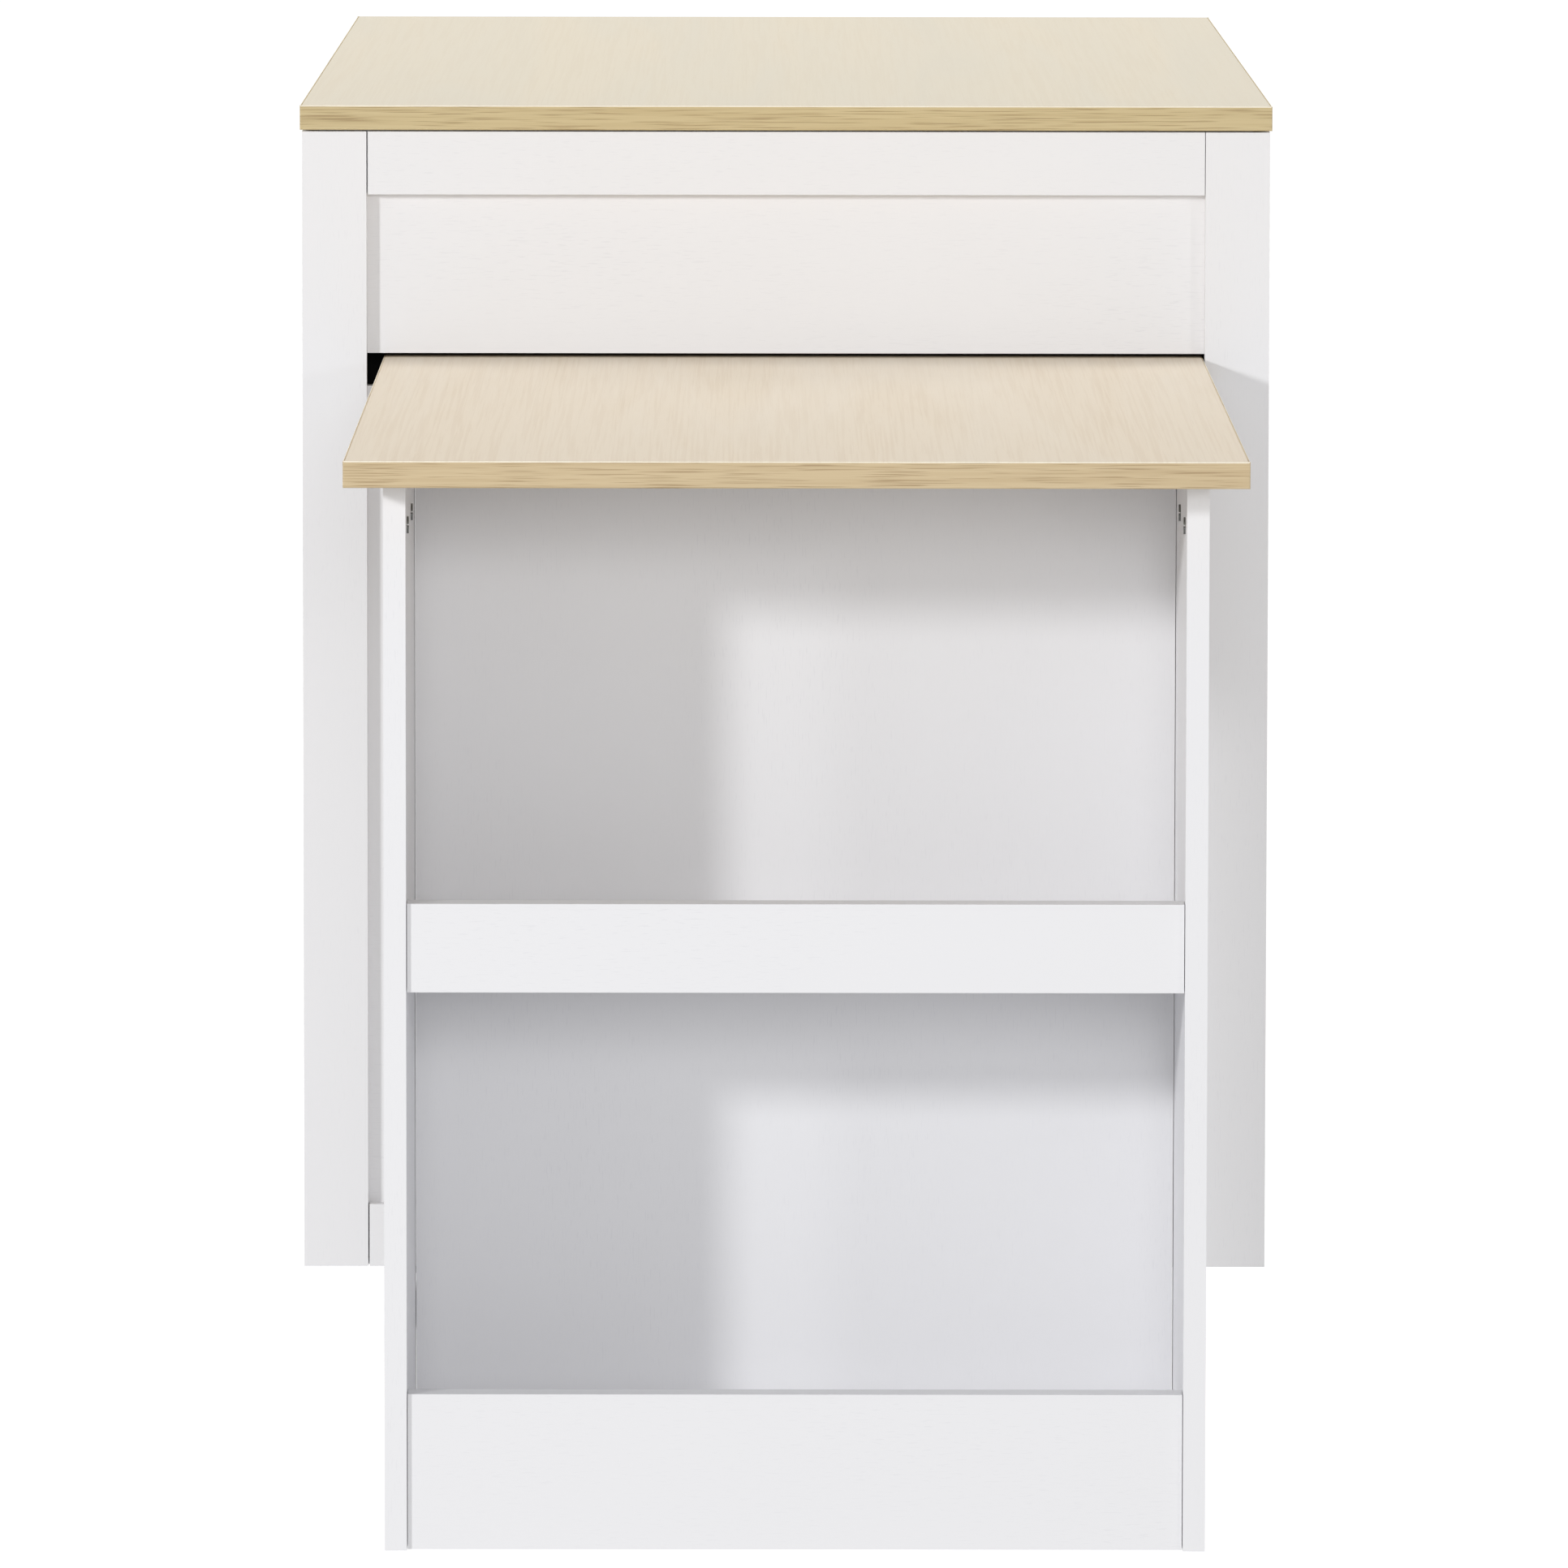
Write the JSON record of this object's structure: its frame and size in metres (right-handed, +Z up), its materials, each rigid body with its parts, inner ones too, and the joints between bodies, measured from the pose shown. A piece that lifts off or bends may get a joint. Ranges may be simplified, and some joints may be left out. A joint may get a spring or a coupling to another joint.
{
  "type": "kitchen island with pull-out table",
  "caption": "Long framed kitchen island on casters with a lower table that slides out of a slot in its end on a shelf rack.",
  "frame": {"origin": "on the floor, at the middle of the whole object's width and length with the table pulled out", "axes": "+Z up, +Y along the length from the table's free end to the island's rear end, +X across the width to the open shelves"},
  "size_m": [0.71, 2.368, 0.922],
  "materials": {
    "white_laminate": "white laminate with a fine grain emboss, satin",
    "maple_laminate": "pale maple-look laminate with fine grain along the length, satin",
    "beech": "planed beech",
    "black_nylon": "black moulded nylon, satin",
    "cam_zinc": "die-cast zinc",
    "caster_zinc": "zinc-plated pressed steel",
    "wheel_rubber": "grey rubber tread on a plastic core"
  },
  "bodies": {
    "island": {"island_top": "maple_laminate", "front_stile_left": "white_laminate", "front_stile_right": "white_laminate", "front_top_rail": "white_laminate", "front_bottom_rail": "white_laminate", "front_upper_panel": "white_laminate", "front_lower_panel": "white_laminate", "rear_stile_left": "white_laminate", "rear_stile_right": "white_laminate", "rear_top_rail": "white_laminate", "rear_bottom_rail": "white_laminate", "rear_panel": "white_laminate", "left_front_stile": "white_laminate", "left_rear_stile": "white_laminate", "left_mid_stile": "white_laminate", "left_top_rail": "white_laminate", "left_bottom_rail": "white_laminate", "left_panel": "white_laminate", "right_front_stile": "white_laminate", "right_rear_stile": "white_laminate", "right_mid_stile": "white_laminate", "right_top_rail": "white_laminate", "right_bottom_rail": "white_laminate", "right_mid_rail": "white_laminate", "right_upper_panel": "white_laminate", "bottom_board": "white_laminate", "deck_board": "white_laminate", "divider": "white_laminate", "front_shelf": "white_laminate", "rear_shelf": "white_laminate", "runner_left": "black_nylon", "runner_right": "black_nylon", "caster_plate_front_left": "caster_zinc", "caster_plate_front_right": "caster_zinc", "caster_plate_rear_left": "caster_zinc", "caster_plate_rear_right": "caster_zinc"},
    "table": {"table_top": "maple_laminate", "stop_batten": "beech", "rack_side_left": "white_laminate", "rack_side_right": "white_laminate", "cam_lock_left_front": "cam_zinc", "cam_lock_left_rear": "cam_zinc", "cam_lock_right_front": "cam_zinc", "cam_lock_right_rear": "cam_zinc", "rack_back": "white_laminate", "rack_mid_shelf": "white_laminate", "rack_bottom_shelf": "white_laminate", "rack_mid_lip": "white_laminate", "rack_kick_board": "white_laminate"},
    "fork_front_left": {"caster_fork_front_left": "caster_zinc"},
    "wheel_front_left": {"caster_wheel_front_left": "wheel_rubber"},
    "fork_front_right": {"caster_fork_front_right": "caster_zinc"},
    "wheel_front_right": {"caster_wheel_front_right": "wheel_rubber"},
    "fork_rear_left": {"caster_fork_rear_left": "caster_zinc"},
    "wheel_rear_left": {"caster_wheel_rear_left": "wheel_rubber"},
    "fork_rear_right": {"caster_fork_rear_right": "caster_zinc"},
    "wheel_rear_right": {"caster_wheel_rear_right": "wheel_rubber"}
  },
  "joints": [
    {"name": "table_slide", "type": "slide", "parent": "island", "child": "table", "axis": [0, -1, 0], "range_m": [-0.65, 0]},
    {"name": "swivel_front_left", "type": "hinge", "parent": "island", "child": "fork_front_left", "pos_m": [-0.2635, -0.149, 0.055], "axis": [0, 0, 1], "continuous": true},
    {"name": "roll_front_left", "type": "hinge", "parent": "fork_front_left", "child": "wheel_front_left", "pos_m": [-0.2635, -0.129, 0.025], "axis": [1, 0, 0], "continuous": true},
    {"name": "swivel_front_right", "type": "hinge", "parent": "island", "child": "fork_front_right", "pos_m": [0.2635, -0.149, 0.055], "axis": [0, 0, 1], "continuous": true},
    {"name": "roll_front_right", "type": "hinge", "parent": "fork_front_right", "child": "wheel_front_right", "pos_m": [0.2635, -0.129, 0.025], "axis": [1, 0, 0], "continuous": true},
    {"name": "swivel_rear_left", "type": "hinge", "parent": "island", "child": "fork_rear_left", "pos_m": [-0.2635, 1.102, 0.055], "axis": [0, 0, 1], "continuous": true},
    {"name": "roll_rear_left", "type": "hinge", "parent": "fork_rear_left", "child": "wheel_rear_left", "pos_m": [-0.2635, 1.122, 0.025], "axis": [1, 0, 0], "continuous": true},
    {"name": "swivel_rear_right", "type": "hinge", "parent": "island", "child": "fork_rear_right", "pos_m": [0.2635, 1.102, 0.055], "axis": [0, 0, 1], "continuous": true},
    {"name": "roll_rear_right", "type": "hinge", "parent": "fork_rear_right", "child": "wheel_rear_right", "pos_m": [0.2635, 1.122, 0.025], "axis": [1, 0, 0], "continuous": true}
  ]
}
